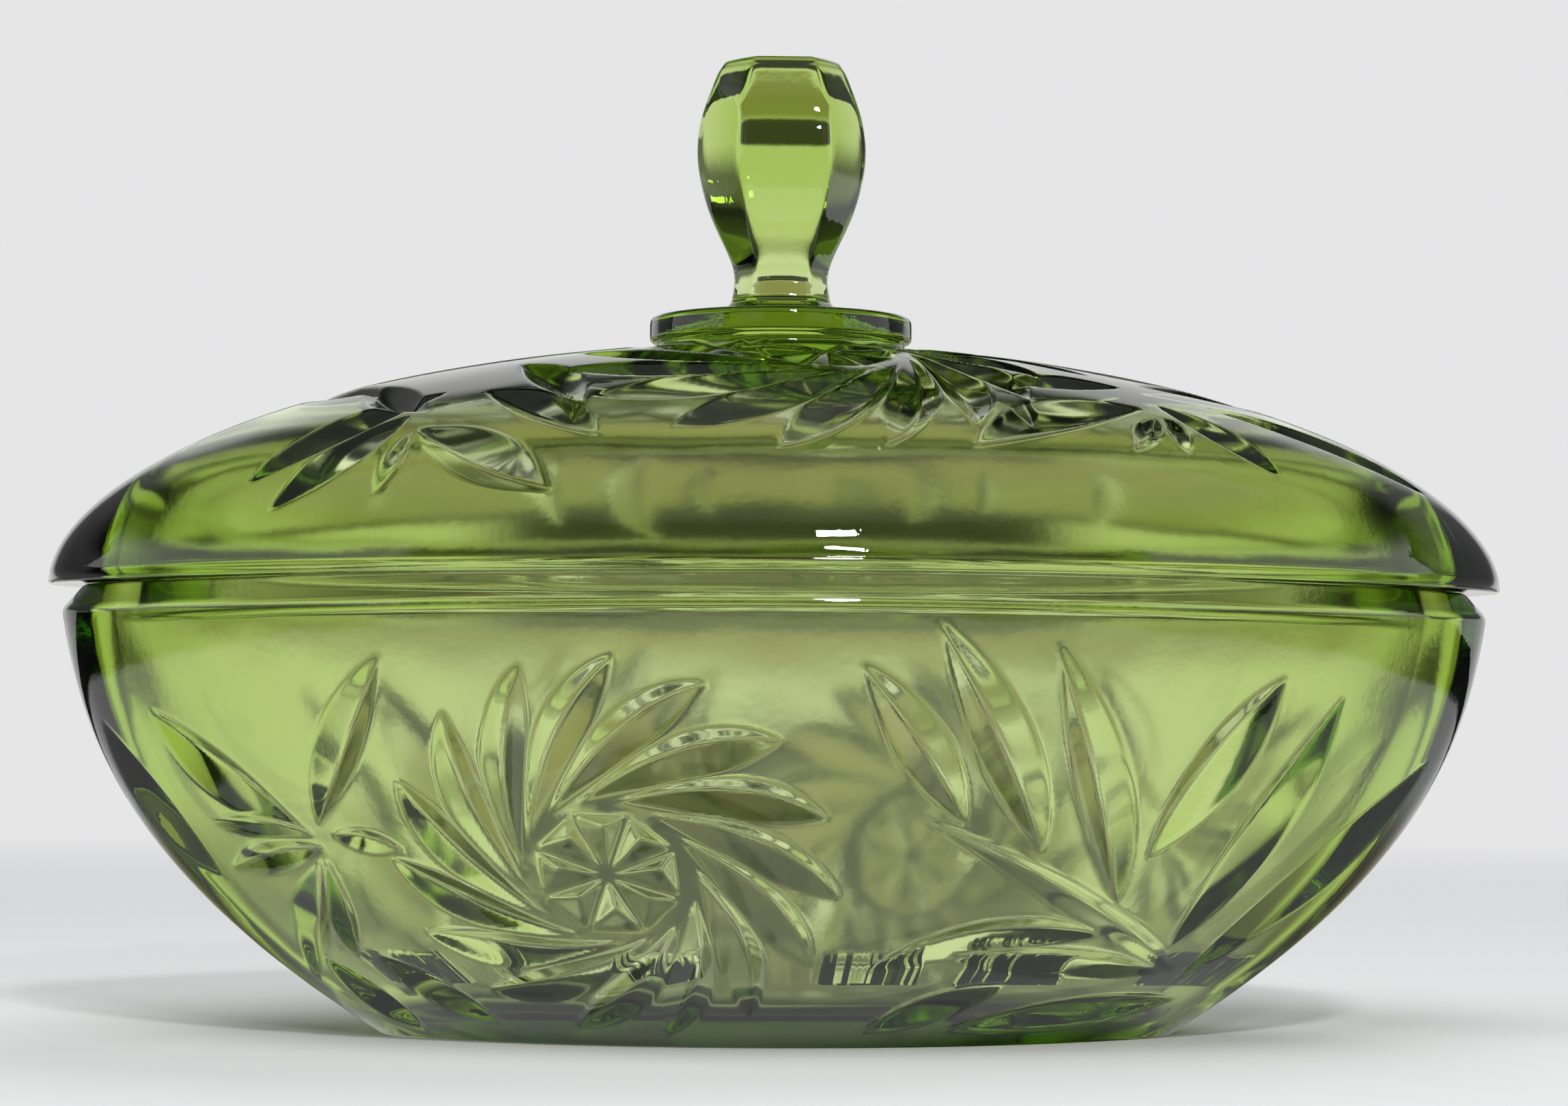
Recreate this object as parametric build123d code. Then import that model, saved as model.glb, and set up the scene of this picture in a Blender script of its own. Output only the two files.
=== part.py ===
from build123d import *

import os

# A boat-shaped covered candy dish in thick pressed glass. It is two loose pieces: the bowl, and the lid,
# whose disc and six-sided knob are moulded in one with it. +X runs along the dish and +Z up. The origin is
# on the table under the dish's centre. All sizes are in millimetres.

# The lid's rim is the widest outline of the dish
LENGTH = 190.5
WIDTH = 120.0
TIP_RADIUS = 20.0
HEIGHT = 128.0

# Levels above the table
FLOOR_Z = 6.0
RING_Z = 53.5
SHOULDER_Z = 54.8
RIM_Z = 58.0
LID_EDGE_Z = 58.4
DOME_UNDERSIDE_Z = 84.5
DOME_Z = 90.3
DISC_Z = 93.8
NECK_Z = 98.5
KNOB_WIDEST_Z = 116.5

# How far the bowl's outside stands in from the lid's rim, at its shoulder and at the top of its bevel
SHOULDER_INSET = 1.8
BEVEL_INSET = 4.5

# How much the outside and the inside narrow at their ends from top to base. The sides narrow by a share
# of that, and the tips get sharper by a smaller one.
FOOT_NARROWING = 42.0
FLOOR_NARROWING = 34.0
SIDE_SHARE = 0.77
TIP_SHARE = 0.15

# A wall narrows by an even slope and by a curve that is steepest at the base
SLOPE_SHARE = 0.2
CURVE_POWER = 2.4

# The hollow in the foot leaves a ring of glass for the dish to stand on
FOOT_RING_WIDTH = 4.5
FOOT_HOLLOW_DEPTH = 1.2

# The lid's ring hangs inside the bowl's mouth
RING_CLEARANCE = 1.0
RING_THICKNESS = 2.5

# How square the domes are across their height: 2 is an ellipse, and more is squarer
DOME_SQUARENESS = 1.85
HOLLOW_SQUARENESS = 4.0

DISC_RADIUS = 17.25
DISC_DEPTH = 5.0
DISC_EDGE_RADIUS = 1.4

# The knob's radius over its corners, at its joint with the disc and further up
KNOB_SIDES = 6
JOINT_RADIUS = 8.4
NECK_RADIUS = 6.1
KNOB_RADIUS = 11.2
KNOB_TOP_RADIUS = 7.6
KNOB_SINK = 0.5
KNOB_STEPS = 10

# Shares of a wall's or dome's height at which its sections are drawn
WALL_STEPS = (0, 0.08, 0.18, 0.3, 0.45, 0.6, 0.8, 1)
DOME_STEPS = (0, 0.15, 0.35, 0.55, 0.72, 0.85, 0.93, 0.975)


def inset(oval, distance):
    """The oval's half length, half width and tip radius, drawn in by the same distance."""
    return tuple(size - distance for size in oval)


def narrowed(oval, distance):
    """The oval drawn in by a distance at its tips, and by less at its sides."""
    half_length, half_width, tip_radius = oval
    return (
        half_length - distance,
        half_width - SIDE_SHARE * distance,
        tip_radius - TIP_SHARE * distance,
    )


RIM = (LENGTH / 2, WIDTH / 2, TIP_RADIUS)
SHOULDER = inset(RIM, SHOULDER_INSET)
BEVEL_TOP = inset(RIM, BEVEL_INSET)
FOOT = narrowed(SHOULDER, FOOT_NARROWING)
MOUTH = (84.0, 53.0, 14.0)
RING = inset(MOUTH, RING_CLEARANCE)
HOLLOW = inset(RING, RING_THICKNESS)


def pointed_oval(oval, z):
    """Two long side arcs that run tangent into two small tip arcs, as a face on level z."""
    half_length, half_width, tip_radius = oval
    reach = half_length - tip_radius
    side_radius = (reach**2 + half_width**2 - tip_radius**2) / (2 * (half_width - tip_radius))
    join_x = reach * side_radius / (side_radius - tip_radius)
    join_y = (side_radius - half_width) * tip_radius / (side_radius - tip_radius)
    back = ThreePointArc((-join_x, join_y), (0, half_width), (join_x, join_y))
    right = ThreePointArc((join_x, join_y), (half_length, 0), (join_x, -join_y))
    front = ThreePointArc((join_x, -join_y), (0, -half_width), (-join_x, -join_y))
    left = ThreePointArc((-join_x, -join_y), (-half_length, 0), (-join_x, join_y))
    return Pos(0, 0, z) * make_face([back, right, front, left])


def slab(oval, low_z, high_z):
    """A flat slab with the oval's outline."""
    return extrude(pointed_oval(oval, low_z), high_z - low_z, dir=(0, 0, 1))


def flared_wall(top, narrowing, low_z, high_z):
    """A solid that narrows from its top oval down to its base, gently at first and fast near the base."""
    sections = []
    for step in WALL_STEPS:
        drop = 1 - step
        share = SLOPE_SHARE * drop + (1 - SLOPE_SHARE) * drop**CURVE_POWER
        level = low_z + step * (high_z - low_z)
        sections.append(pointed_oval(narrowed(top, narrowing * share), level))
    return loft(sections)


def dome(oval, low_z, high_z, squareness):
    """A solid dome over the oval, cut off flat just under its peak."""
    sections = []
    for step in DOME_STEPS:
        scale = (1 - step**squareness) ** 0.5
        level = low_z + step * (high_z - low_z)
        sections.append(pointed_oval([size * scale for size in oval], level))
    return loft(sections)


def make_bowl():
    """The boat-shaped bowl, with a bevelled shoulder under a flat rim and a hollowed foot."""
    outside = flared_wall(SHOULDER, FOOT_NARROWING, 0, SHOULDER_Z)
    bevel = loft([pointed_oval(SHOULDER, SHOULDER_Z), pointed_oval(BEVEL_TOP, RIM_Z)], ruled=True)
    inside = flared_wall(MOUTH, FLOOR_NARROWING, FLOOR_Z, RIM_Z)
    foot_hollow = slab(inset(FOOT, FOOT_RING_WIDTH), 0, FOOT_HOLLOW_DEPTH)
    return outside + bevel - inside - foot_hollow


def make_disc():
    """The flat disc under the knob, with a rounded upper edge, sunk into the dome."""
    disc = Pos(0, 0, DISC_Z - DISC_DEPTH / 2) * Cylinder(DISC_RADIUS, DISC_DEPTH)
    return fillet(disc.edges().group_by(Axis.Z)[-1], DISC_EDGE_RADIUS)


def make_knob():
    """A six-sided bulb on a waisted neck, with a facet facing the front and a flat top."""
    profile = Spline(
        (JOINT_RADIUS, DISC_Z - KNOB_SINK),
        (NECK_RADIUS, NECK_Z),
        (KNOB_RADIUS, KNOB_WIDEST_Z),
        (KNOB_TOP_RADIUS, HEIGHT),
        tangents=[(-1, 1), (-0.75, 1)],
    )
    stations = [profile.position_at(step / KNOB_STEPS) for step in range(KNOB_STEPS + 1)]
    return loft([Pos(0, 0, at.Y) * RegularPolygon(at.X, KNOB_SIDES) for at in stations])


def make_lid():
    """The domed lid, with a ring that locates it in the bowl's mouth, and its disc and knob."""
    edge = slab(RIM, RIM_Z, LID_EDGE_Z)
    outside = dome(RIM, LID_EDGE_Z, DOME_Z, DOME_SQUARENESS)
    ring = slab(RING, RING_Z, RIM_Z)
    ring_hollow = slab(HOLLOW, RING_Z, RIM_Z)
    dome_hollow = dome(HOLLOW, RIM_Z, DOME_UNDERSIDE_Z, HOLLOW_SQUARENESS)
    return edge + outside + ring - ring_hollow - dome_hollow + make_disc() + make_knob()


PIECES = {"bowl": make_bowl, "lid": make_lid}

os.makedirs("parts", exist_ok=True)
for name, make in PIECES.items():
    piece = make()
    piece.label = name
    export_step(piece, f"parts/{name}.step")
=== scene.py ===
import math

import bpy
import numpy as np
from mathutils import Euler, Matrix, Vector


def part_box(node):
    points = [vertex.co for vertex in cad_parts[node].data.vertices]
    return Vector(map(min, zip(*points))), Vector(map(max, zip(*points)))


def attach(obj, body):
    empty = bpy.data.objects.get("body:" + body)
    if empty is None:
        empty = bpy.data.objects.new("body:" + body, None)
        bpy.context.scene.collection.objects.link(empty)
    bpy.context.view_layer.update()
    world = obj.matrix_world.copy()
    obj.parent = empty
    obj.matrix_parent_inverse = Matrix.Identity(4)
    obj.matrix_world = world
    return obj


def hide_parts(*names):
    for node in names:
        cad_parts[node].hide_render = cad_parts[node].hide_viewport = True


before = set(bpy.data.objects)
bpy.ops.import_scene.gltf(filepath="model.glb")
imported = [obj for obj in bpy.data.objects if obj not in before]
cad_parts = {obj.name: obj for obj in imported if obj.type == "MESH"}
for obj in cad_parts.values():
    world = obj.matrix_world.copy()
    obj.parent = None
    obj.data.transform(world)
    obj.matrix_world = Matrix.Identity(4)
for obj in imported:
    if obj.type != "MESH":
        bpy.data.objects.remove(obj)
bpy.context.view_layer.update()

# The looks of a covered candy dish in pressed green glass. Both CAD nodes are replaced by closed glass
# shells of the same shape and wall, with the pressed leaf and pinwheel pattern cut into their outsides.
# Shapes are worked out in millimetres in the CAD frame, and written to the meshes in metres.

MM = 0.001

# ---------------------------------------------------------------- sizes, the outermost from the frame
lid_low, lid_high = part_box("lid")
bowl_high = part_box("bowl")[1]
HALF_LENGTH = lid_high.x / MM
HALF_WIDTH = lid_high.y / MM
TOP_Z = lid_high.z / MM
RING_Z = lid_low.z / MM
RIM_Z = bowl_high.z / MM

# The levels and radii between them, as in the solids
TIP_RADIUS = 20.0
FLOOR_Z = 6.0
SHOULDER_Z = RIM_Z - 3.2
LID_EDGE_Z = RIM_Z + 0.4
DOME_Z = 90.3
DOME_UNDERSIDE_Z = 84.5
DISC_Z = 93.8
DISC_LOW_Z = 90.6
DISC_RADIUS = 17.25
# Air under the lid's flange, so that the two glasses never share a face
LID_GAP = 0.08

# How far the outside stands in from the lid's rim, and how far it narrows towards the foot and the floor
SHOULDER_INSET = 1.8
BEVEL_INSET = 4.5
FOOT_NARROWING = 42.0
FLOOR_NARROWING = 34.0
SIDE_SHARE = 0.77
TIP_SHARE = 0.15
SLOPE_SHARE = 0.2
CURVE_POWER = 2.4
FOOT_RING_WIDTH = 4.5
FOOT_HOLLOW_DEPTH = 1.2
RING_CLEARANCE = 1.0
RING_THICKNESS = 2.5
# A dome's squareness across its height: 2 is an ellipse, and more is squarer
DOME_SQUARENESS = 1.85
HOLLOW_SQUARENESS = 4.0

# An outline is a pointed oval: half length, half width, tip radius
RIM = np.array([HALF_LENGTH, HALF_WIDTH, TIP_RADIUS])
SHOULDER = RIM - SHOULDER_INSET
BEVEL_TOP = RIM - BEVEL_INSET
MOUTH = np.array([84.0, 53.0, 14.0])
RING = MOUTH - RING_CLEARANCE
HOLLOW = RING - RING_THICKNESS
NARROWING = np.array([1.0, SIDE_SHARE, TIP_SHARE])
FOOT = SHOULDER - FOOT_NARROWING * NARROWING
FOOT_HOLLOW = FOOT - FOOT_RING_WIDTH

# The grid round each outline: columns on a quarter of its side, and on half of its tip
SIDE_COLUMNS = 240
TIP_COLUMNS = 28
WALL_ROWS = 168
DOME_ROWS = 168
INSIDE_ROWS = 36


# ---------------------------------------------------------------- outlines
def outline_points(ovals):
    """Points round each oval of an (n, 3) array, from the front's middle towards +X: an (n, m, 2) array."""
    length, width, tip = (np.asarray(ovals, float)[:, i, None] for i in range(3))
    reach = length - tip
    radius = (reach**2 + width**2 - tip**2) / (2 * (width - tip))
    turn = np.arctan2(reach, radius - width)
    side = turn * (np.arange(SIDE_COLUMNS) / SIDE_COLUMNS)
    tip_turn = (math.pi / 2 - turn) * (1 - np.arange(TIP_COLUMNS) / TIP_COLUMNS)
    side_x, side_y = radius * np.sin(side), radius * np.cos(side) - (radius - width)
    tip_x, tip_y = reach + tip * np.cos(tip_turn), tip * np.sin(tip_turn)
    x = np.concatenate([side_x, tip_x], 1)
    y = np.concatenate([side_y, tip_y], 1)
    # A quarter runs from the front's middle to just short of the tip. Mirrored, four of them close the loop.
    tip_point = np.stack([length, 0 * length], -1)
    quarter = np.stack([x, -y], -1)
    back = quarter[:, :0:-1] * (1, -1)
    half = np.concatenate([quarter, tip_point, back], 1)
    return np.concatenate([half, -half], 1)


def loops(path):
    """Loops of 3-D points for an (n, 4) path whose rows are an oval and its level."""
    path = np.asarray(path, float)
    flat = outline_points(path[:, :3])
    levels = np.broadcast_to(path[:, 3, None, None], flat.shape[:2] + (1,))
    return np.concatenate([flat, levels], -1)


def at(oval, z):
    """A path row: an oval and its level."""
    return np.array([*oval, z], float)


def rounded(before, corner, after, radius, steps=5):
    """Path rows that turn a corner, with a supporting row on each side of it."""
    def towards(end, distance):
        run = end - corner
        return corner + run * min(distance / np.hypot(run[0], run[3]), 0.49)
    start, end = towards(before, radius), towards(after, radius)
    rows = [towards(before, radius * 1.3)]
    for share in np.linspace(0, 1, steps):
        rows.append((1 - share)**2 * start + 2 * share * (1 - share) * corner + share**2 * end)
    rows.append(towards(after, radius * 1.3))
    return rows


def wall_path(top, narrowing, low_z, high_z, shares):
    """Path rows of a wall that narrows to its base, gently at first and fast near the base."""
    drop = 1 - np.asarray(shares)[:, None]
    narrowed = narrowing * (SLOPE_SHARE * drop + (1 - SLOPE_SHARE) * drop**CURVE_POWER)
    return np.hstack([top - narrowed * NARROWING, high_z - drop * (high_z - low_z)])


def dome_path(oval, low_z, high_z, squareness, shares):
    """Path rows of a dome over the oval."""
    share = np.asarray(shares)[:, None]
    return np.hstack([oval * np.sqrt(1 - share**squareness), low_z + share * (high_z - low_z)])


def dome_height(x, y, oval, low_z, high_z, squareness):
    """The level of the dome over a point, from the scale of the outline that passes through the point."""
    length, width, tip = oval
    reach = length - tip
    radius = (reach**2 + width**2 - tip**2) / (2 * (width - tip))
    offset = radius - width
    x, y = abs(x), abs(y)
    room = radius**2 - offset**2
    scale = (offset * y + np.sqrt((offset * y)**2 + room * (x**2 + y**2))) / room
    return low_z + (high_z - low_z) * (1 - scale**2)**(1 / squareness)


# ---------------------------------------------------------------- the cut pattern
# How steep a cut's sides are, and how round its edges and its valley
CUT_SLOPE = 0.66
EDGE_SOFTNESS = 0.16
# A pinwheel's blades: how far from the hub they start, their heading from its edge and their bend in
# degrees, a little more length than reaches the tip circle, and how far behind its direction a swell lies
PIN_BLADES = 15
BLADE_START = 0.9
BLADE_LEAD = 17.0
BLADE_BEND = -34.0
BLADE_STRETCH = 1.02
BLADE_VALLEY = 0.25
BLADE_BELLY = 0.6
SWELL_LAG = 65
# The star in a hub: the slope of its pits, and half the width of the ribs between them
HUB_RADIUS = 9.4
HUB_RAYS = 8
HUB_SLOPE = 0.62
HUB_RIB = 0.3
# No bend is less than this many degrees, because a straight leaf has no middle to turn about
LEAST_BEND = 0.5


def soft_min(a, b, softness=EDGE_SOFTNESS):
    """The smaller of two values, with a soft corner where they cross."""
    return 0.5 * (a + b - np.sqrt((a - b)**2 + softness**2))


def soft_floor(a, softness=EDGE_SOFTNESS):
    """The value where it is above zero, and zero elsewhere, with a soft corner between."""
    return 0.5 * (a + np.sqrt(a**2 + softness**2)) * (a > -4 * softness)


def leaf(start, heading, length, width, bend=0.0, valley=0.0, belly=0.5):
    """A mitre-cut leaf: where it starts, its heading, length and greatest width, how far it turns along its
    length, how far its valley stands off its middle, and where along its length it is widest."""
    return dict(start=start, heading=math.radians(heading), length=length, half=width / 2,
                turn=math.radians(bend if abs(bend) > LEAST_BEND else LEAST_BEND), valley=valley,
                skew=math.log(0.5) / math.log(belly))


def leaf_depth(across, up, cut):
    """How deep the leaf cuts at each point of its chart."""
    bow = cut["length"] / cut["turn"]
    middle_x = cut["start"][0] - bow * math.sin(cut["heading"])
    middle_y = cut["start"][1] + bow * math.cos(cut["heading"])
    first = math.atan2(cut["start"][1] - middle_y, cut["start"][0] - middle_x)
    angle = np.arctan2(up - middle_y, across - middle_x) - first
    angle = (angle + math.pi) % (2 * math.pi) - math.pi
    along = angle / cut["turn"]
    aside = math.copysign(1, bow) * (abs(bow) - np.hypot(across - middle_x, up - middle_y))
    spread = np.sign(along) * np.abs(along)**cut["skew"]
    half = cut["half"] * 4 * spread * (1 - spread)
    left = (aside + half) / (1 + cut["valley"])
    right = (half - aside) / (1 - cut["valley"])
    depth = CUT_SLOPE * soft_floor(soft_min(left, right))
    return np.where((along > 0) & (along < 1), depth, 0)


def hub_depth(across, up):
    """The star in a pinwheel's hub: a triangular pit between each two of its rays."""
    sector = 2 * math.pi / HUB_RAYS
    angle = np.arctan2(up, across)
    angle = (angle + sector / 2) % sector - sector / 2
    reach = np.hypot(across, up)
    x, y = reach * np.cos(angle), np.abs(reach * np.sin(angle))
    to_ray = x * math.sin(sector / 2) - y * math.cos(sector / 2)
    to_edge = HUB_RADIUS * math.cos(sector / 2) - x
    return HUB_SLOPE * soft_floor(soft_min(to_ray, to_edge) - HUB_RIB)


def pinwheel(tip_radius, width, phase, swell=0, toward=0):
    """Curved blades that leave the hub nearly along its edge and sweep clockwise out to their tips. The
    wheel may swell towards a direction."""
    root_radius = HUB_RADIUS + BLADE_START
    run = math.radians(BLADE_LEAD - 90 + BLADE_BEND / 2)
    blades = []
    for number in range(PIN_BLADES):
        turn = phase + 360 * number / PIN_BLADES
        reach = tip_radius + swell * math.cos(math.radians(turn - SWELL_LAG - toward))
        length = -root_radius * math.cos(run)
        length += math.sqrt((root_radius * math.cos(run))**2 + reach**2 - root_radius**2)
        root = (root_radius * math.cos(math.radians(turn)), root_radius * math.sin(math.radians(turn)))
        heading = turn - 90 + BLADE_LEAD
        length *= BLADE_STRETCH
        blades.append(leaf(root, heading, length, width, BLADE_BEND, BLADE_VALLEY, BLADE_BELLY))
    return blades


# Each motif has a chart: the plane that touches the smooth outside at its middle, with +x along the dish to
# the right as seen from outside and +y up the slope. A place is along the dish and up the bowl, or along and
# across the lid. Leaves are start, heading, length, width, bend, valley, belly.
BOWL_PINWHEEL = dict(place=(-22.5, 22.0), hub=True, leaves=pinwheel(27.6, 5.9, 80.5))
BOWL_LEFT_SPRAY = dict(place=(-58.0, 26.5), hub=False, leaves=[
    leaf((-2, 0.5), 155, 27, 7.4, -16),
    leaf((0.5, 1.5), 62, 25, 6.5, -12),
    leaf((-1, 0), 172, 17, 3.6, 12),
    leaf((-20.5, -8.5), 137, 26, 7.8, -20),
    leaf((0, -2), -173, 19, 5.0, 14),
    leaf((-1.4, -4), -128, 24, 5.5, 14),
    leaf((-0.5, -4), -106, 16, 4.4, 10),
    leaf((-10, -20), -62, 17, 5.5, 16),
    leaf((0, -19), -52, 17, 5.5, 14),
    leaf((2, 0), -10, 10, 3.4, -10),
])
BOWL_RIGHT_SPRAY = dict(place=(49.0, 9.5), hub=False, leaves=[
    leaf((0, 0), 148, 49, 4.2, 24, 0, 0.4),
    leaf((-40, 17.5), 132, 20, 6.4, 16),
    leaf((-29.5, 16.5), 123, 28, 7.4, 16),
    leaf((-16, 11), 117, 34, 7.4, 10),
    leaf((-15, 18), 69, 27, 8.0, -20),
    leaf((-3.5, 4.5), 77, 37, 8.4, -16),
    leaf((2, -1), 50, 43, 9.0, -14),
    leaf((-15, 6), 176, 31, 5.6, 58, 0.2),
    leaf((-2, 0), 172, 34, 5.2, 22, 0.2),
    leaf((-24, -4), -142, 19, 5.6, 18),
    leaf((5, -5.5), -176, 34, 6.4, 22),
])
LID_PINWHEEL = dict(place=(4.5, -24.5), hub=True, leaves=pinwheel(30.0, 6.8, 82, 3, 190))
LID_LEFT_SPRAY = dict(place=(-46.5, -34.5), hub=False, leaves=[
    leaf((1.4, -1.6), -25, 24, 8.4, 6),
    leaf((-2, 2), -117, 21, 7.0, -14),
    leaf((0.8, -2.5), -85, 11.5, 3.4, -6),
    leaf((5, 9), -18, 23, 6.6, -14),
    leaf((2, 22), -34, 24, 6.2, -14),
    leaf((-1, 9), -140, 27, 7.4, 12),
    leaf((0, 3), 150, 24, 6.4, -18),
    leaf((-12, 14), 166, 26, 6.4, -18),
])
LID_RIGHT_SPRAY = dict(place=(44.0, -30.0), hub=False, leaves=[
    leaf((-1, -0.5), -178, 30, 7.4, 18),
    leaf((2.5, 8), 170, 20, 6.4, 18),
    leaf((-1, -3.5), -134, 11, 3.6, -12),
    leaf((1.5, -3), -112, 9, 3.0, 8),
    leaf((3, 1), -56, 18, 6.0, -12),
    leaf((8, 11), 10, 26, 6.6, -20),
    leaf((2, 14), 118, 20, 6.0, -20),
    leaf((13, 3), -14, 33, 6.4, -16),
])
# A motif reaches this far in front of and behind its chart, and this far across it
CHART_DEPTH = 34.0
CHART_REACH = 75


def normals_of(grid):
    """Outward unit normals of a grid of loops that rise, from its rows and columns."""
    along = np.roll(grid, -1, 1) - np.roll(grid, 1, 1)
    upward = np.gradient(grid, axis=0)
    normals = np.cross(along, upward)
    return normals / np.maximum(np.linalg.norm(normals, axis=-1, keepdims=True), 1e-9)


def pattern_depth(grid, normals, motifs, at_level):
    """How deep the pattern cuts at each grid point. The pattern repeats after half a turn about +Z."""
    depth = np.zeros(grid.shape[:2])
    for motif in motifs:
        place = np.array(motif["place"])
        gap = (grid[..., [0, 2 if at_level else 1]] - place)**2
        nearest = gap.sum(-1) + np.where(grid[..., 1] < 0, 0, 1e6)
        row, column = np.unravel_index(np.argmin(nearest), nearest.shape)
        middle, outward = grid[row, column], normals[row, column]
        right = np.cross((0, 0, 1), outward)
        right = right / np.linalg.norm(right)
        rise = np.cross(outward, right)
        for half_turn in (1, -1):
            spin = np.array([half_turn, half_turn, 1])
            offset = grid * spin - middle
            facing = (normals * spin) @ outward
            across, up = offset @ right, offset @ rise
            near = (np.abs(offset @ outward) < CHART_DEPTH) & (facing > 0.1)
            near &= np.hypot(across, up) < CHART_REACH
            a, b = across[near], up[near]
            cut = np.zeros(a.shape)
            for piece in motif["leaves"]:
                cut = np.maximum(cut, leaf_depth(a, b, piece))
            if motif["hub"]:
                inside = np.hypot(a, b) < HUB_RADIUS
                cut = np.where(inside, hub_depth(a, b), cut)
            depth[near] = np.maximum(depth[near], cut)
    return depth


def ripple(points, size, height):
    """Smooth waves left by the mould, from a few crossed sines: the same each time."""
    total = np.zeros(points.shape[:-1])
    directions = ((1, 0.3, 0.7), (-0.6, 1, 0.5), (0.4, -0.8, 1), (0.9, 0.7, -0.6), (-0.3, 0.5, 1.2))
    for number, direction in enumerate(directions):
        wave = points @ (np.array(direction) * 2 * math.pi / size) * (1 + 0.37 * number)
        total += np.sin(wave + 1.7 * number) / (1 + 0.5 * number)
    return height * total[..., None] / 2


# ---------------------------------------------------------------- meshes
def closed_mesh(name, rows, low_pole, high_pole, inside):
    """A closed mesh of loops of equal length, with a point at each end. The rows in the slice are inside."""
    count, columns = len(rows), len(rows[0])
    points = np.concatenate([np.reshape(rows, (-1, 3)), [low_pole], [high_pole]]) * MM
    index = np.arange(count * columns).reshape(count, columns)
    following = np.roll(index, -1, 1)
    quads = np.stack([index[:-1], following[:-1], following[1:], index[1:]], -1).reshape(-1, 4)
    first, last = count * columns, count * columns + 1
    low_fan = np.stack([following[0], index[0], np.full(columns, first)], -1)
    high_fan = np.stack([index[-1], following[-1], np.full(columns, last)], -1)
    corners = np.concatenate([quads.ravel(), low_fan.ravel(), high_fan.ravel()])
    sizes = np.concatenate([np.full(len(quads), 4), np.full(2 * columns, 3)])
    mesh = bpy.data.meshes.new(name)
    mesh.vertices.add(len(points))
    mesh.vertices.foreach_set("co", points.astype(np.float32).ravel())
    mesh.loops.add(len(corners))
    mesh.loops.foreach_set("vertex_index", corners.astype(np.int32))
    mesh.polygons.add(len(sizes))
    mesh.polygons.foreach_set("loop_start", np.concatenate([[0], np.cumsum(sizes)[:-1]]).astype(np.int32))
    mesh.update(calc_edges=True)
    mesh.validate()
    mesh.shade_smooth()
    plunged = np.zeros((count, columns), np.float32)
    plunged[inside] = 1
    tag = mesh.attributes.new("inside", "FLOAT", "POINT")
    tag.data.foreach_set("value", np.concatenate([plunged.ravel(), [0, 0]]).astype(np.float32))
    piece = bpy.data.objects.new(name, mesh)
    bpy.context.scene.collection.objects.link(piece)
    return piece


def make_bowl():
    """The bowl, as loops from the middle of its underside, out and up its outside, and down its inside."""
    hollow_low, hollow_rim = at(FOOT_HOLLOW, FOOT_HOLLOW_DEPTH), at(FOOT_HOLLOW, 0)
    foot = at(FOOT, 0)
    shares = np.linspace(0.022, 0.985, WALL_ROWS)
    wall = wall_path(SHOULDER, FOOT_NARROWING, 0, SHOULDER_Z, shares)
    shoulder, bevel_top, mouth = at(SHOULDER, SHOULDER_Z), at(BEVEL_TOP, RIM_Z), at(MOUTH, RIM_Z)
    floor_shares = np.linspace(0.96, 0.16, INSIDE_ROWS)
    inside = wall_path(MOUTH, FLOOR_NARROWING, FLOOR_Z, RIM_Z, floor_shares)
    floor_edge = wall_path(MOUTH, FLOOR_NARROWING, FLOOR_Z, RIM_Z, [0])[0]
    floor_middle = at(MOUTH * 0.05, FLOOR_Z)
    under_middle = at(FOOT_HOLLOW * 0.05, FOOT_HOLLOW_DEPTH)
    under = [under_middle] + [at(FOOT_HOLLOW * share, FOOT_HOLLOW_DEPTH) for share in (0.3, 0.6, 0.85)]
    under += rounded(under_middle, hollow_low, hollow_rim, 0.4)
    under += rounded(hollow_low, hollow_rim, foot, 0.4)
    under += rounded(hollow_rim, foot, wall[0], 0.5)
    rim = rounded(wall[-3], shoulder, bevel_top, 0.7)
    rim += rounded(shoulder, bevel_top, mouth, 0.5)
    rim += rounded(bevel_top, mouth, inside[0], 0.8)
    floor = rounded(inside[-1], floor_edge, floor_middle, 7.5, 30)
    floor += [at(floor_edge[:3] * share, FLOOR_Z) for share in (0.7, 0.45, 0.2, 0.08)]
    outside = loops(wall)
    normals = normals_of(outside)
    motifs = [BOWL_PINWHEEL, BOWL_LEFT_SPRAY, BOWL_RIGHT_SPRAY]
    depth = pattern_depth(outside, normals, motifs, at_level=True)
    fade = np.clip((shares - shares[0]) / 0.03, 0, 1) * np.clip((shares[-1] - shares) / 0.03, 0, 1)
    outside -= normals * (depth * fade[:, None])[..., None]
    outside += normals * ripple(outside, 19.0, 0.018) * fade[:, None, None]
    smooth_inside = loops(np.concatenate([inside, floor]))
    inward = -normals_of(smooth_inside[::-1])[::-1]
    calm = np.ones(len(smooth_inside))
    calm[:2] = 0
    calm[-4:] = 0
    smooth_inside += inward * ripple(smooth_inside, 23.0, 0.02) * calm[:, None, None]
    rows = np.concatenate([loops(under), outside, loops(rim), smooth_inside])
    inside_rows = slice(len(rows) - len(smooth_inside), None)
    return closed_mesh("bowl_glass", rows, (0, 0, FOOT_HOLLOW_DEPTH), (0, 0, FLOOR_Z), inside_rows)


# The knob's profile: radius over its corners at each level, from the disc up
KNOB_PROFILE = ((94.4, 8.3), (95.2, 7.2), (96.6, 6.4), (100.6, 6.4), (108.0, 9.6), (114.5, 11.1),
                (120.0, 10.7), (125.6, 8.8), (127.4, 7.8))
KNOB_SIDES = 6
KNOB_ROWS = 90
# How sharp the knob's corners are in its neck, how much sharper on its faces, and at its flat top
NECK_CRISPNESS = 9
FACE_CRISPNESS = 17
TOP_CRISPNESS = 50
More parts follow.
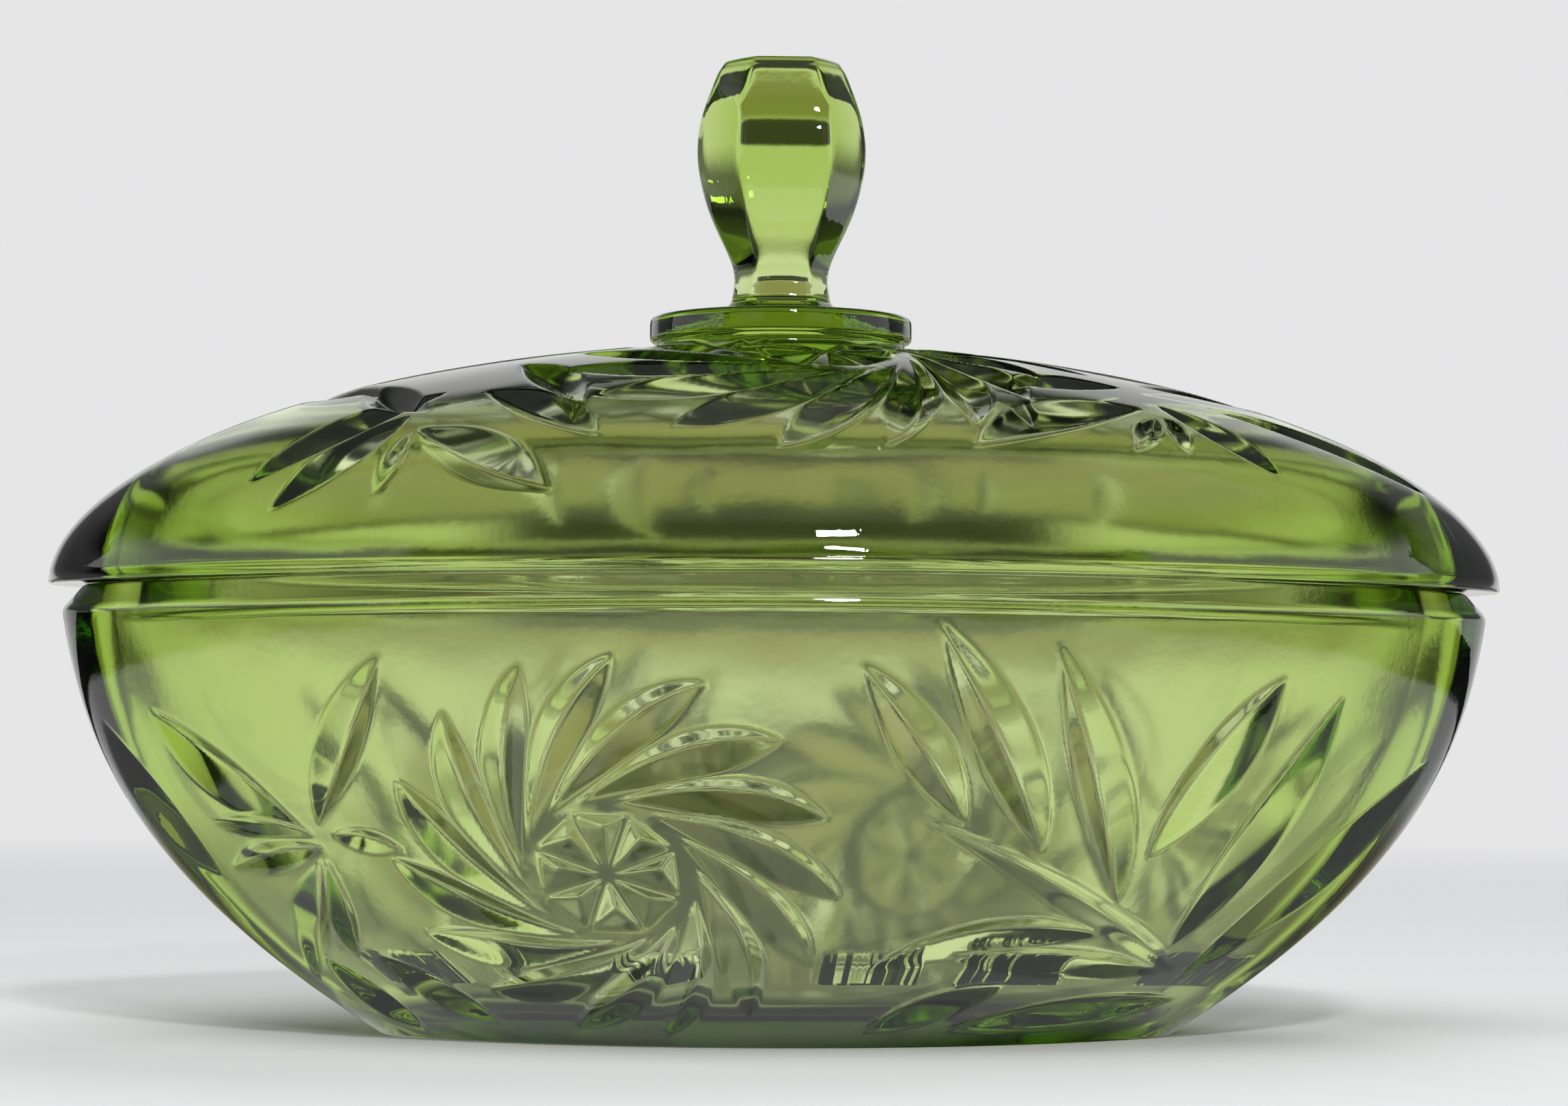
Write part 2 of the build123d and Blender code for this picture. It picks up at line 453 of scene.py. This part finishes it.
# How far the faces' upper edges bow down, for each square millimetre of their distance from the middle
KNOB_CROWN = 0.008
# The knob's rounded top edge and flat top: shares of its last radius, and how far below its top they lie
KNOB_TOP = ((0.97, 0.25), (0.93, 0.07), (0.87, 0), (0.7, 0), (0.4, 0), (0.1, 0))


def smooth_through(points, count):
    """Points evenly spaced along a smooth line through a few given ones."""
    points = np.array(points, float)
    padded = np.concatenate([[2 * points[0] - points[1]], points, [2 * points[-1] - points[-2]]])
    found = []
    for at_share in np.linspace(0, len(points) - 1 - 1e-6, count):
        first, t = int(at_share), at_share % 1
        a, b, c, d = padded[first:first + 4]
        found.append(0.5 * (2 * b + (c - a) * t + (2 * a - 5 * b + 4 * c - d) * t**2
                            + (3 * b - a - 3 * c + d) * t**3))
    return np.array(found)


def knob_loop(angles, radius, z, crispness):
    """A hexagon with rounded corners, one of them on +X, whose corners lie on the radius. Its loops near the
    top bow down towards the front and the back."""
    sides = math.pi / KNOB_SIDES * (2 * np.arange(KNOB_SIDES) + 1)
    facing = np.maximum(np.cos(angles[:, None] - sides), 0)
    reach = (facing**crispness).sum(1)**(-1 / crispness)
    corner = (2 * math.cos(math.pi / KNOB_SIDES)**crispness)**(-1 / crispness)
    reach = radius * reach / corner
    bow = KNOB_CROWN * min(1, max(0, (z - 120) / 7)) * (reach * np.sin(angles))**2
    return np.stack([reach * np.cos(angles), reach * np.sin(angles), z - bow], -1)


def make_lid():
    """The lid, as loops from the middle of its hollow, down and out under its rim, and up to the knob."""
    hollow_shares = np.concatenate([np.linspace(0.999, 0.9, 10), np.linspace(0.88, 0.03, INSIDE_ROWS)])
    hollow = dome_path(HOLLOW, RIM_Z, DOME_UNDERSIDE_Z, HOLLOW_SQUARENESS, hollow_shares)
    ring_in, ring_out = at(HOLLOW, RING_Z), at(RING, RING_Z)
    root, edge, edge_top = at(RING, RIM_Z + LID_GAP), at(RIM, RIM_Z + LID_GAP), at(RIM, LID_EDGE_Z + 0.5)
    under = rounded(hollow[-1], ring_in, ring_out, 0.9) + rounded(ring_in, ring_out, root, 0.9)
    under += rounded(ring_out, root, edge, 0.6) + rounded(root, edge, edge_top, 0.5)
    shares = np.sin(np.linspace(0.03, 0.79, DOME_ROWS) * math.pi / 2)
    dome = dome_path(RIM, LID_EDGE_Z, DOME_Z, DOME_SQUARENESS, shares)
    outside = loops(dome)
    columns = outside.shape[1]
    angles = 2 * math.pi * np.arange(columns) / columns - math.pi / 2
    circle = np.stack([np.cos(angles), np.sin(angles)], -1)
    collar = []
    for share in np.linspace(0.06, 1, 24):
        flat = (1 - share) * outside[-1, :, :2] + share * (DISC_RADIUS - 1.0) * circle
        level = dome_height(flat[:, 0], flat[:, 1], RIM, LID_EDGE_Z, DOME_Z, DOME_SQUARENESS)
        collar.append(np.concatenate([flat, level[:, None]], -1))
    outside = np.concatenate([outside, collar])
    normals = normals_of(outside)
    motifs = [LID_PINWHEEL, LID_LEFT_SPRAY, LID_RIGHT_SPRAY]
    depth = pattern_depth(outside, normals, motifs, at_level=False)
    rows_down = np.arange(len(outside))
    fade = np.clip(rows_down / 6, 0, 1) * np.clip((len(outside) - 1 - rows_down) / 3, 0, 1)
    outside -= normals * (depth * fade[:, None])[..., None]
    outside += normals * ripple(outside, 21.0, 0.018) * fade[:, None, None]
    disc_rows = [(DISC_RADIUS - 0.9, DISC_LOW_Z - 0.2), (DISC_RADIUS - 0.3, DISC_LOW_Z - 0.05),
                 (DISC_RADIUS - 0.05, DISC_LOW_Z + 0.2), (DISC_RADIUS, DISC_LOW_Z + 0.5),
                 (DISC_RADIUS, DISC_Z - 0.9), (DISC_RADIUS - 0.08, DISC_Z - 0.5),
                 (DISC_RADIUS - 0.3, DISC_Z - 0.17), (DISC_RADIUS - 0.7, DISC_Z - 0.02),
                 (DISC_RADIUS - 1.2, DISC_Z), (DISC_RADIUS - 3.5, DISC_Z + 0.05),
                 (12.0, DISC_Z + 0.12), (10.4, DISC_Z + 0.22), (9.2, DISC_Z + 0.42)]
    disc = [np.concatenate([radius * circle, np.full((columns, 1), z)], -1) for radius, z in disc_rows]
    knob = []
    for z, radius in smooth_through(KNOB_PROFILE, KNOB_ROWS):
        crispness = NECK_CRISPNESS + FACE_CRISPNESS * min(1, max(0, (z - 96) / 12))
        knob.append(knob_loop(angles, radius, z, crispness))
    for share, drop in KNOB_TOP:
        knob.append(knob_loop(angles, KNOB_PROFILE[-1][1] * share, TOP_Z - drop, TOP_CRISPNESS))
    inner = loops(hollow)
    inward = -normals_of(inner[::-1])[::-1]
    rows_out = np.arange(len(inner))
    calm = np.clip((rows_out - 3) / 8, 0, 1) * np.clip((len(inner) - 3 - rows_out) / 4, 0, 1)
    inner += inward * ripple(inner, 26.0, 0.012) * calm[:, None, None]
    rows = np.concatenate([inner, loops(under), outside, disc, knob])
    return closed_mesh("lid_glass", rows, (0, 0, DOME_UNDERSIDE_Z), (0, 0, TOP_Z), slice(len(inner)))


# ---------------------------------------------------------------- materials
GLASS_IOR = 1.52
# What a metre of the glass takes from red, green and blue light
GLASS_TAKES = (41.0, 23.5, 103.0)
# Roughness of the polished outside and of the duller inside
OUTSIDE_ROUGHNESS = 0.01
INSIDE_ROUGHNESS = 0.13
# Waves in the skin for each metre, and how strong and how high the relief is
PEEL_SCALE = 900
DRAWN_SCALE = 140
SKIN_STRENGTH = 0.12
SKIN_HEIGHT = 0.00012


def glass_material(name):
    """Pressed green glass: clear all through, tinted by depth, with the mould's fine orange-peel skin."""
    material = bpy.data.materials.new(name)
    material.use_nodes = True
    nodes, links = material.node_tree.nodes, material.node_tree.links
    nodes.clear()
    output = nodes.new("ShaderNodeOutputMaterial")
    shader = nodes.new("ShaderNodeBsdfPrincipled")
    shader.inputs["Base Color"].default_value = (1, 1, 1, 1)
    shader.inputs["Transmission Weight"].default_value = 1.0
    shader.inputs["IOR"].default_value = GLASS_IOR
    inside = nodes.new("ShaderNodeAttribute")
    inside.attribute_name = "inside"
    polish = nodes.new("ShaderNodeMapRange")
    polish.inputs["To Min"].default_value = OUTSIDE_ROUGHNESS
    polish.inputs["To Max"].default_value = INSIDE_ROUGHNESS
    links.new(inside.outputs["Fac"], polish.inputs["Value"])
    links.new(polish.outputs[0], shader.inputs["Roughness"])
    volume = nodes.new("ShaderNodeVolumeAbsorption")
    density = max(GLASS_TAKES)
    volume.inputs["Color"].default_value = (*[1 - take / density for take in GLASS_TAKES], 1)
    volume.inputs["Density"].default_value = density
    place = nodes.new("ShaderNodeTexCoord")
    peel = nodes.new("ShaderNodeTexNoise")
    peel.inputs["Scale"].default_value = PEEL_SCALE
    peel.inputs["Detail"].default_value = 2
    drawn = nodes.new("ShaderNodeTexNoise")
    drawn.inputs["Scale"].default_value = DRAWN_SCALE
    drawn.inputs["Detail"].default_value = 3
    patches = nodes.new("ShaderNodeMath")
    patches.operation = "MULTIPLY"
    bump = nodes.new("ShaderNodeBump")
    bump.inputs["Strength"].default_value = SKIN_STRENGTH
    bump.inputs["Distance"].default_value = SKIN_HEIGHT
    for texture in (peel, drawn):
        links.new(place.outputs["Object"], texture.inputs["Vector"])
    links.new(peel.outputs["Fac"], patches.inputs[0])
    links.new(drawn.outputs["Fac"], patches.inputs[1])
    links.new(patches.outputs[0], bump.inputs["Height"])
    links.new(bump.outputs["Normal"], shader.inputs["Normal"])
    links.new(shader.outputs["BSDF"], output.inputs["Surface"])
    links.new(volume.outputs["Volume"], output.inputs["Volume"])
    return material


bowl_piece = make_bowl()
lid_piece = make_lid()
for piece, node, slot in ((bowl_piece, "bowl", "bowl_glass"), (lid_piece, "lid", "lid_glass")):
    piece.data.materials.append(glass_material(slot))
    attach(piece, node)
    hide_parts(node)


# ---------------------------------------------------------------- stage, lights and camera
BACKDROP = (0.79, 0.79, 0.80)
FLOOR_TINT = (0.80, 0.81, 0.82)
ROOM_LIGHT = 0.02
# Soft windows round the room: degrees from straight behind the dish to either side, half width, lowest and
# highest level, and strength
WINDOWS = ((0, 16, 0, 44, 0.8), (84, 40, -2, 26, 1.1), (150, 10, 4, 30, 0.25), (130, 70, 46, 120, 0.3))

# The board stands behind the dish. Below, each pair is where a shade or a light starts to change and ends.
BOARD_WHITE = 0.92
BOARD_SHADE = (0.42, 0.38, 0.24)
FLOOR_SHADE = (0.46, 0.42, 0.28)
BOARD_DISTANCE = 0.32
BOARD_HALF_WIDTH = 0.9
BOARD_TOP = 0.4
# The board's light narrows above this level, and its warm shade narrows faster
NARROWING_Z = 0.06
LIGHT_NARROWING = 0.8
SHADE_NARROWING = 1.5
HIGH_LIGHT_WIDTH, HIGH_LIGHT_LEVEL = (0.32, 0.42), (0.3, 0.39)
LOW_LIGHT_WIDTH, LOW_LIGHT_LEVEL = (0.55, 0.8), (0.09, 0.12)
FOOT_SHADE_WIDTH, FOOT_SHADE_LEVEL = (0.06, 0.1), (0.03, 0.045)
# Painted shade: a short dark band on the board, centred behind the dish
SHADE_BAND_WIDTH, SHADE_BAND_LOW, SHADE_BAND_HIGH = (0.12, 0.16), (0.108, 0.118), (0.15, 0.162)
WARM_WIDTH, WARM_LOW, WARM_HIGH = (0.19, 0.25), (0.042, 0.054), (0.1, 0.125)
# On the table: the foot's oval, the shade under it as shares of it, the end of the light, the shade close
# behind the dish, and the warm shade further back
FOOT_OVAL = (0.053, 0.0275)
UNDER_FOOT = (0.88, 1.04)
TABLE_END = (0.29, 0.325)
CLOSE_REACH, CLOSE_START, CLOSE_STRENGTH = (0.07, 0.16), (-0.015, 0.01), 0.72
WARM_TABLE_WIDTH, WARM_TABLE_START = (0.1, 0.16), (0.0, 0.03)

# Lamps: azimuth from the camera's side and elevation in degrees, distance, width and height in metres, power
# in watts, and whether the glass shows the lamp
LAMPS = (("key", -20, 62, 1.6, 1.2, 1.2, 10.5, False), ("fill", 150, 55, 1.8, 1.2, 1.0, 8, False),
         ("window", 12, 36, 1.6, 0.16, 0.13, 9, True), ("low_window", 12, 22, 1.6, 0.14, 0.05, 4, True))
LAMPS_AIM_Z = 0.06

# The camera: metres from the dish, above the table and aside, degrees of tilt and roll, and its lens
EYE_DISTANCE, EYE_HEIGHT, EYE_ASIDE = 0.52, 0.0385, 0.0007
TILT, ROLL, LENS_MM = 2.685, -0.293, 90.8
BOUNCES = 24
# The camera and the stage stand turned about the dish's upright axis
VIEW_TURN = math.radians(-2.9)


def turned(x, y, z):
    """A point of the stage, turned with it."""
    return (x * math.cos(VIEW_TURN) - y * math.sin(VIEW_TURN),
            x * math.sin(VIEW_TURN) + y * math.cos(VIEW_TURN), z)


class Graph:
    """A node tree under construction: its methods add a node and return the node's output."""

    def __init__(self, owner):
        owner.use_nodes = True
        self.nodes, self.links = owner.node_tree.nodes, owner.node_tree.links
        self.nodes.clear()

    def add(self, kind, inputs=(), **settings):
        node = self.nodes.new(kind)
        for name, value in settings.items():
            setattr(node, name, value)
        for socket, value in inputs:
            if isinstance(value, bpy.types.NodeSocket):
                self.links.new(value, node.inputs[socket])
            else:
                node.inputs[socket].default_value = value
        return node

    def maths(self, operation, *values):
        return self.add("ShaderNodeMath", enumerate(values), operation=operation).outputs[0]

    def step(self, value, start, end, low=0.0, high=1.0):
        """Low where the value is below start, high where it is above end, and smooth between."""
        settings = (("Value", value), ("From Min", start), ("From Max", end),
                    ("To Min", low), ("To Max", high))
        return self.add("ShaderNodeMapRange", settings, interpolation_type="SMOOTHSTEP").outputs[0]

    def product(self, *values):
        total = values[0]
        for value in values[1:]:
            total = self.maths("MULTIPLY", total, value)
        return total

    def hypot(self, x, y):
        return self.maths("SQRT", self.maths("ADD", self.product(x, x), self.product(y, y)))

    def colours(self, share, first, second):
        mix = self.add("ShaderNodeMix", data_type="RGBA")
        for socket, value in ((0, share), (6, first), (7, second)):
            if isinstance(value, bpy.types.NodeSocket):
                self.links.new(value, mix.inputs[socket])
            else:
                mix.inputs[socket].default_value = value
        return mix.outputs[2]

    def position(self, kind="Object"):
        place = self.add("ShaderNodeTexCoord")
        return self.add("ShaderNodeSeparateXYZ", [(0, place.outputs[kind])]).outputs

    def output(self, kind, surface):
        self.add(kind, [("Surface", surface)])


def make_world():
    """A pale backdrop for the camera. The glass sees a dim studio with soft windows round it."""
    world = bpy.data.worlds.new("studio")
    bpy.context.scene.world = world
    graph = Graph(world)
    x, y, z = graph.position("Generated")
    aside = graph.maths("ARCTAN2", graph.maths("ABSOLUTE", x), y)
    height = graph.maths("ARCSINE", z)
    windows = ROOM_LIGHT
    for middle, half, low, high, power in WINDOWS:
        off = graph.maths("ABSOLUTE", graph.maths("SUBTRACT", aside, math.radians(middle)))
        panel = graph.product(
            graph.step(off, math.radians(half), math.radians(half + 4), 1, 0),
            graph.step(height, math.radians(low - 3), math.radians(low + 3)),
            graph.step(height, math.radians(high - 5), math.radians(high + 5), 1, 0), power)
        windows = graph.maths("ADD", panel, windows)
    studio = graph.add("ShaderNodeBackground", [("Color", (1, 1, 1, 1)), ("Strength", windows)])
    backdrop = graph.add("ShaderNodeBackground", [("Color", (*BACKDROP, 1))])
    path = graph.add("ShaderNodeLightPath")
    mix = graph.add("ShaderNodeMixShader", [
        (0, path.outputs["Is Camera Ray"]), (1, studio.outputs[0]), (2, backdrop.outputs[0])])
    graph.output("ShaderNodeOutputWorld", mix.outputs[0])


def disc_mesh(name, radii):
    """A flat round sheet on the floor, of rings with the given radii."""
    columns = 96
    angles = np.arange(columns) * 2 * math.pi / columns
    rows = [np.stack([r * np.cos(angles), r * np.sin(angles), 0 * angles], -1) for r in radii]
    points = np.concatenate([np.reshape(rows, (-1, 3)), [(0, 0, 0)]])
    index = np.arange(len(radii) * columns).reshape(len(radii), columns)
    following = np.roll(index, -1, 1)
    quads = np.stack([index[:-1], index[1:], following[1:], following[:-1]], -1).reshape(-1, 4)
    fan = np.stack([np.full(columns, len(points) - 1), index[0], following[0]], -1)
    mesh = bpy.data.meshes.new(name)
    mesh.from_pydata(points.tolist(), [], quads.tolist() + fan.tolist())
    sheet = bpy.data.objects.new(name, mesh)
    bpy.context.scene.collection.objects.link(sheet)
    return sheet


def make_floor():
    """A round white table top that fades into the backdrop far from the dish."""
    floor = disc_mesh("table_top", (0.05, 0.12, 0.25, 0.45, 0.8, 1.4, 2.6, 6.0))
    material = bpy.data.materials.new("table_top")
    graph = Graph(material)
    x, y, z = graph.position()
    distance = graph.hypot(x, y)
    diffuse = graph.add("ShaderNodeBsdfDiffuse", [("Color", (*FLOOR_TINT, 1))])
    glow = graph.add("ShaderNodeEmission", [("Color", (*BACKDROP, 1))])
    mix = graph.add("ShaderNodeMixShader", [
        (0, graph.step(distance, 0.25, 1.1)), (1, diffuse.outputs[0]), (2, glow.outputs[0])])
    graph.output("ShaderNodeOutputMaterial", mix.outputs[0])
    floor.data.materials.append(material)
    floor.visible_transmission = floor.visible_glossy = False


def glass_only(sheet):
    """Only rays that leave the glass meet this sheet."""
    sheet.visible_camera = sheet.visible_diffuse = sheet.visible_shadow = False


def make_table_glow():
    """The table top as the glass sees it: white, and dark in the shade under the dish."""
    sheet = disc_mesh("table_glow", (0.05, 0.12, 0.25, 0.45))
    material = bpy.data.materials.new("table_glow")
    graph = Graph(material)
    x, y, z = graph.position()
    oval = graph.hypot(graph.maths("DIVIDE", x, FOOT_OVAL[0]), graph.maths("DIVIDE", y, FOOT_OVAL[1]))
    distance = graph.hypot(x, y)
    light = graph.product(graph.step(oval, *UNDER_FOOT, 0.02, 1), graph.step(distance, *TABLE_END, 1, 0.03))
    off = graph.maths("ABSOLUTE", x)
    close = graph.step(distance, *CLOSE_REACH, CLOSE_STRENGTH, 0)
    close = graph.product(close, graph.step(y, *CLOSE_START))
    light = graph.product(light, graph.maths("SUBTRACT", 1.0, close))
    behind = graph.product(graph.step(off, *WARM_TABLE_WIDTH, 1, 0), graph.step(y, *WARM_TABLE_START))
    colour = graph.colours(behind, (1, 1, 1, 1), (*[c / BOARD_WHITE for c in FLOOR_SHADE], 1))
    strength = graph.product(light, BOARD_WHITE)
    glow = graph.add("ShaderNodeEmission", [("Color", colour), ("Strength", strength)])
    graph.output("ShaderNodeOutputMaterial", glow.outputs[0])
    sheet.data.materials.append(material)
    sheet.rotation_euler.z = VIEW_TURN
    glass_only(sheet)


def make_board():
    """A white board behind the dish, as the glass sees it, with painted shade on it: the dish's own warm
    shade, the foot's shade and a dark band.
    """
    half = BOARD_HALF_WIDTH
    mesh = bpy.data.meshes.new("white_board")
    corners = [(-half, 0, 0.0005), (half, 0, 0.0005), (half, 0, BOARD_TOP), (-half, 0, BOARD_TOP)]
    mesh.from_pydata(corners, [], [(0, 1, 2, 3)])
    board = bpy.data.objects.new("white_board", mesh)
    board.location = turned(0, BOARD_DISTANCE, 0)
    board.rotation_euler.z = VIEW_TURN
    bpy.context.scene.collection.objects.link(board)
    material = bpy.data.materials.new("white_board")
    graph = Graph(material)
    x, y, z = graph.position()
    off = graph.maths("ABSOLUTE", x)
    narrowing = graph.maths("MAXIMUM", graph.maths("SUBTRACT", z, NARROWING_Z), 0.0)
    reach = graph.maths("ADD", off, graph.product(narrowing, LIGHT_NARROWING))
    high = graph.product(graph.step(reach, *HIGH_LIGHT_WIDTH, 1, 0.22),
                         graph.step(z, *HIGH_LIGHT_LEVEL, 1, 0.03))
    low = graph.product(graph.step(off, *LOW_LIGHT_WIDTH, 1, 0.03), graph.step(z, *LOW_LIGHT_LEVEL, 1, 0.03))
    foot = graph.product(graph.step(off, *FOOT_SHADE_WIDTH, 1, 0), graph.step(z, *FOOT_SHADE_LEVEL, 1, 0))
    # Painted shade: the dark band on the board
    shade_band = graph.product(graph.step(off, *SHADE_BAND_WIDTH, 1, 0), graph.step(z, *SHADE_BAND_LOW),
                         graph.step(z, *SHADE_BAND_HIGH, 1, 0))
    edge = graph.product(graph.maths("MAXIMUM", high, low), graph.step(foot, 0, 1, 1, 0.06),
                         graph.step(shade_band, 0, 1, 1, 0.1), BOARD_WHITE)
    spread = graph.maths("ADD", off, graph.product(narrowing, SHADE_NARROWING))
    shade = graph.product(graph.step(spread, *WARM_WIDTH, 1, 0), graph.step(z, *WARM_LOW),
                          graph.step(z, *WARM_HIGH, 1, 0))
    colour = graph.colours(shade, (1, 1, 1, 1), (*[c / BOARD_WHITE for c in BOARD_SHADE], 1))
    glow = graph.add("ShaderNodeEmission", [("Color", colour), ("Strength", edge)])
    graph.output("ShaderNodeOutputMaterial", glow.outputs[0])
    board.data.materials.append(material)
    glass_only(board)


def area_light(name, azimuth, elevation, distance, width, height, power, seen):
    """A soft panel that faces the dish, at an azimuth from the camera's side towards +X."""
    light = bpy.data.lights.new(name, "AREA")
    light.shape = "RECTANGLE"
    light.size, light.size_y = width, height
    light.energy = power
    lamp = bpy.data.objects.new(name, light)
    bpy.context.scene.collection.objects.link(lamp)
    a, e = math.radians(azimuth) + VIEW_TURN, math.radians(elevation)
    out = Vector((math.sin(a) * math.cos(e), -math.cos(a) * math.cos(e), math.sin(e)))
    lamp.location = Vector((0, 0, LAMPS_AIM_Z)) + out * distance
    lamp.rotation_euler = (-out).to_track_quat("-Z", "Y").to_euler()
    lamp.visible_glossy = lamp.visible_transmission = seen


def make_camera():
    """A low view, level with the bowl, from a little to the left of its front."""
    data = bpy.data.cameras.new("camera")
    camera = bpy.data.objects.new("camera", data)
    bpy.context.scene.collection.objects.link(camera)
    data.sensor_width = 36
    data.lens = LENS_MM
    data.clip_start, data.clip_end = 0.01, 50
    camera.location = turned(EYE_ASIDE, -EYE_DISTANCE, EYE_HEIGHT)
    camera.rotation_euler = Euler((math.radians(90 + TILT), math.radians(ROLL), VIEW_TURN), "XYZ")
    bpy.context.scene.camera = camera


make_world()
make_floor()
make_table_glow()
make_board()
for settings in LAMPS:
    area_light(*settings)
make_camera()
bpy.context.scene.view_settings.view_transform = "Standard"
bpy.context.scene.cycles.max_bounces = BOUNCES
bpy.context.scene.cycles.transmission_bounces = BOUNCES
